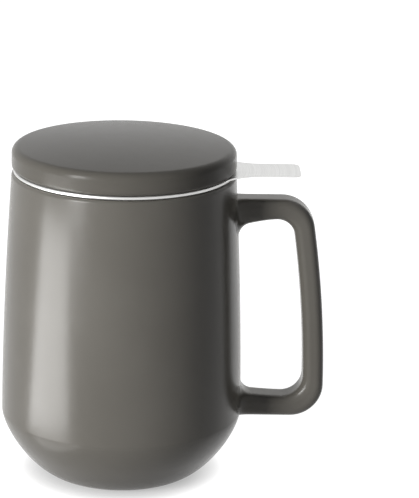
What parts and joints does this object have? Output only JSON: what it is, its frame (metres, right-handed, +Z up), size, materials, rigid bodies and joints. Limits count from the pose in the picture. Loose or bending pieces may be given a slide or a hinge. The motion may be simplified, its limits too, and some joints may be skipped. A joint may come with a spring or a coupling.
{
  "type": "lidded tea mug with infuser",
  "caption": "Round-bellied ceramic tea mug with an angular loop handle, a hanging perforated steel infuser with a flat grip tab, and a crowned lift-off lid.",
  "frame": {"origin": "centre of the foot ring, on the mug's axis, at the level of the table", "axes": "+Z up along the mug's axis, +X towards the handle and the infuser's tab"},
  "size_m": [0.1236, 0.092, 0.1305],
  "materials": {
    "glaze": "satin",
    "steel": "satin",
    "mesh": "satin"
  },
  "bodies": {
    "mug": {"mug_body": "glaze", "mug_handle": "glaze"},
    "infuser": {"infuser_funnel": "steel", "basket_wall": "mesh", "base_ring": "steel", "base_mesh": "mesh"},
    "lid": {"lid": "glaze"}
  },
  "joints": [
    {"name": "infuser_lift", "type": "slide", "parent": "mug", "child": "infuser", "axis": [0, 0, 1], "range_m": [0, 0.067]},
    {"name": "lid_lift", "type": "slide", "parent": "infuser", "child": "lid", "axis": [0, 0, 1], "range_m": [0, 0.042]}
  ]
}
